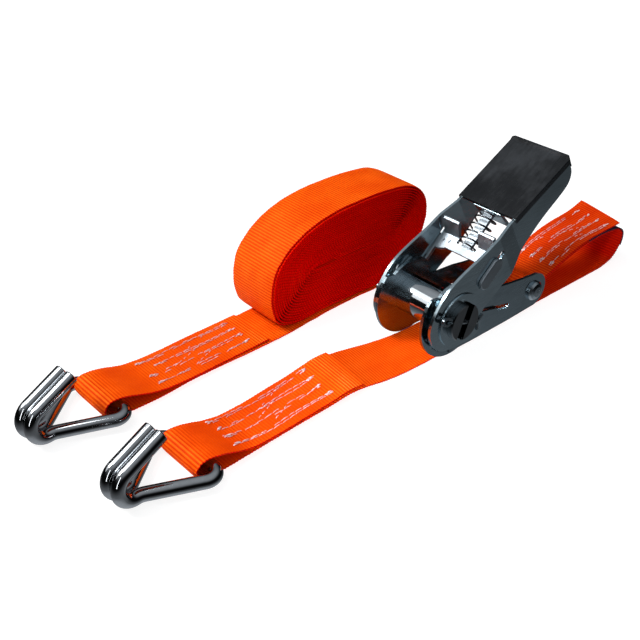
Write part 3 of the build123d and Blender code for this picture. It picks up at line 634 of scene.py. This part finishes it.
def sew(name, band, s0, s1, rows_u, side, body, spread=0.55, lines=2, short_row=(None, 0.0)):
    sv.clear()
    sf.clear()
    s_end = s1
    for i, u in enumerate(rows_u):
        s1 = s_end - (short_row[1] if i == short_row[0] else 0.0)
        st = random.uniform(-1.2, 1.2)
        for k in range(lines):
            off = (k - (lines - 1) / 2) * spread * 2
            seam(band, s0 + st + random.uniform(-1, 1), s1 + random.uniform(-1.5, 1.5), u + off, u + off * random.uniform(0.6, 1.3), side)
        blob(band, s0 + 1.0, u, side, 4, 0.6)
        blob(band, s1 - 1.0, u, side, 4, 0.6)
    s1 = s_end
    for a, b in zip(rows_u[:-1], rows_u[1:]):
        m = s0 + (s1 - s0) * random.uniform(0.35, 0.65)
        seam(band, m - 9, m + 9, a, b, side, 1.8, 1.4, 0.2, 0.3)
    me = bpy.data.meshes.new(name)
    me.from_pydata([tuple(v * MM) for v in sv], [], sf)
    for p in me.polygons:
        p.use_smooth = True
    me.materials.append(thread)
    o = bpy.data.objects.new(name, me)
    scene.collection.objects.link(o)
    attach(o, body)
    return o


sew("short_hook_stitching", short, 15.5, 67.5, (9.6, 4.0, -2.2, -8.2), -1, "frame")
sew("long_hook_stitching", long_band, 8.5, 60.0, (9.8, 3.8, -2.2, -8.4), -1, "long_strap", short_row=(1, 7.0))
s_top = short.s_at(lambda c: c[0] < 60 and c[2] > 15.5 and c[2] < 16.2)
sew("flap_stitching", short, s_top + 21.0, short.length - 8.0, (8.6, 2.0, -4.0, -9.6), 1, "frame")

# =============================================================================== label
ks = [k for k in range(len(short.s)) if short.c[k][0] > 118 and -10 <= math.degrees(math.atan2(short.c[k][2] - 11.4, short.c[k][0] - 118.6)) <= 97 and short.s[k] < s_top]
lab_rows = []
ks += [k for k in range(ks[-1] + 1, len(short.s)) if short.c[k][0] > 104 and short.s[k] < s_top]
for k in ks[::6]:
    p = short.c[k] - short.n[k] * 0.84
    lab_rows.append((p[0], 0.0, p[2], p[2]))
lab = Band(lab_rows, 26.2, thick=0.34, step=0.4, cols=9, ridge=0.0, nub=0.0, wander=0.0, per=6)
lab_obj = lab.build("blank_label", navy)
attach(lab_obj, "frame")
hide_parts("strap_label")

# =============================================================================== springs


def tube(name, pts, r, mat, sides=10):
    P = np.array(pts, float)
    n = len(P)
    T = np.gradient(P, axis=0)
    T /= np.linalg.norm(T, axis=1)[:, None]
    a = np.cross(T[0], (0.3, 0.9, 0.1))
    a /= np.linalg.norm(a)
    V = []
    for i in range(n):
        a = a - T[i] * a.dot(T[i])
        a /= np.linalg.norm(a)
        b = np.cross(T[i], a)
        for k in range(sides):
            t = 2 * math.pi * k / sides
            V.append(P[i] + (a * math.cos(t) + b * math.sin(t)) * r)
    F = []
    for i in range(n - 1):
        for k in range(sides):
            q = (k + 1) % sides
            F.append((i * sides + k, i * sides + q, (i + 1) * sides + q, (i + 1) * sides + k))
    F.append(tuple(range(sides))[::-1])
    F.append(tuple(range((n - 1) * sides, n * sides)))
    me = bpy.data.meshes.new(name)
    me.from_pydata([tuple(v * MM) for v in V], [], F)
    for p in me.polygons:
        p.use_smooth = len(p.vertices) == 4
    me.materials.append(mat)
    o = bpy.data.objects.new(name, me)
    scene.collection.objects.link(o)
    return o


def coil(name, deg, u0, u1, v, r, wire, turns, mat, node):
    """Compression spring along the direction deg in the XZ plane through the spool axis, with closed ends."""
    o = np.array((0, 0, 20.0))
    U = np.array((math.cos(math.radians(deg)), 0, math.sin(math.radians(deg))))
    W = np.array((-math.sin(math.radians(deg)), 0, math.cos(math.radians(deg))))
    Y = np.array((0, 1.0, 0))
    closed_turns = 0.55
    total = turns + 2 * closed_turns
    pts = []
    n = int(total * 36)
    for i in range(n + 1):
        t = i / n * total
        if t < closed_turns:
            u = u0 + wire + t * wire * 1.7
        elif t > total - closed_turns:
            u = u1 - wire - (total - t) * wire * 1.7
        else:
            f = (t - closed_turns) / turns
            lo, hi = u0 + wire + closed_turns * wire * 1.7, u1 - wire - closed_turns * wire * 1.7
            u = lo + (hi - lo) * f
        ang = 2 * math.pi * t + 0.7
        pts.append(o + U * u + W * (v + r * math.sin(ang)) + Y * r * math.cos(ang))
    ob = tube(name, pts, wire, mat)
    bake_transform(ob)
    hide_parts(node)
    return ob


coil("drive_spring_coil", 41.0, 31.0, 49.9, 1.0, 4.9, 0.46, 4.2, spring_metal, "drive_spring")
coil("lock_spring_coil", -13.0, 31.2, 42.0, -1.0, 2.6, 0.34, 4.6, spring_metal, "lock_spring")

# =============================================================================== floor and light
me = bpy.data.meshes.new("floor")
bm = bmesh.new()
bmesh.ops.create_grid(bm, x_segments=1, y_segments=1, size=6)
bm.to_mesh(me)
floor = bpy.data.objects.new("floor", me)
floor.location = (0, 0, -0.0006)
scene.collection.objects.link(floor)
fm, fnt, fb = new_mat("floor_white")
fb.inputs["Base Color"].default_value = (0.30, 0.30, 0.30, 1)
fb.inputs["Roughness"].default_value = 0.9
fb.inputs["Specular IOR Level"].default_value = 0.0
fb.inputs["Emission Color"].default_value = (1, 1, 1, 1)
fb.inputs["Emission Strength"].default_value = 0.86
me.materials.append(fm)
floor.visible_glossy = False

world = bpy.data.worlds.new("studio")
scene.world = world
world.use_nodes = True
wt = world.node_tree
bg = wt.nodes["Background"]
wtc = wt.nodes.new("ShaderNodeTexCoord").outputs["Generated"]
wsep = wt.nodes.new("ShaderNodeSeparateXYZ")
wt.links.new(wtc, wsep.inputs[0])
zz = remap(wt, wsep.outputs[2], -1, 1, 0, 1)
G = [(0.0, 0.55), (0.09, 0.42), (0.17, 0.19), (0.23, 0.145), (0.30, 0.075), (0.39, 0.014), (0.46, 0.004), (0.66, 0.006), (0.74, 0.05), (0.82, 0.22), (0.92, 0.42), (1.0, 0.5)]
col = ramp(wt, zz, [(p, (v * 0.96, v * 1.0, v * 1.05, 1)) for p, v in G])
wt.links.new(col, bg.inputs[0])
bg.inputs[1].default_value = 1.0


def area(name, loc, target, size, power, color=(1, 1, 1), size_y=None, glossy=True):
    l = bpy.data.lights.new(name, "AREA")
    l.energy = power
    l.color = color
    l.size = size
    if size_y:
        l.shape = "RECTANGLE"
        l.size_y = size_y
    o = bpy.data.objects.new(name, l)
    o.location = loc
    o.rotation_mode = "QUATERNION"
    o.rotation_quaternion = (Vector(target) - Vector(loc)).to_track_quat("-Z", "Y")
    o.visible_glossy = glossy
    scene.collection.objects.link(o)
    return o


area("key_left", (-0.80, 0.62, 1.15), (0, 0.02, 0), 0.5, 20)
area("overhead", (-0.45, 0.15, 1.4), (0, 0.02, 0), 0.5, 3.5)
area("behind_left", (-0.75, 0.75, 0.85), (0, 0, 0.02), 0.8, 2.6, size_y=0.8)
area("front_fill", (-0.4, -1.5, 0.62), (0, 0, 0), 1.0, 6.0, glossy=False)
strip = area("strip", (-1.0, -0.45, 0.40), (0, 0, 0.02), 0.10, 1.6, size_y=0.9)
strip.visible_diffuse = False
sp = bpy.data.lights.new("under_buckle", "SPOT")
sp.energy = 9.0
sp.spot_size = math.radians(13)
sp.spot_blend = 0.8
sp.shadow_soft_size = 0.03
spo = bpy.data.objects.new("under_buckle", sp)
spo.location = (-0.33, -0.06, 0.085)
spo.rotation_mode = "QUATERNION"
spo.rotation_quaternion = (Vector((-0.002, 0.002, 0.006)) - spo.location).to_track_quat("-Z", "Y")
spo.visible_glossy = False
scene.collection.objects.link(spo)
scene.view_settings.view_transform = "Standard"
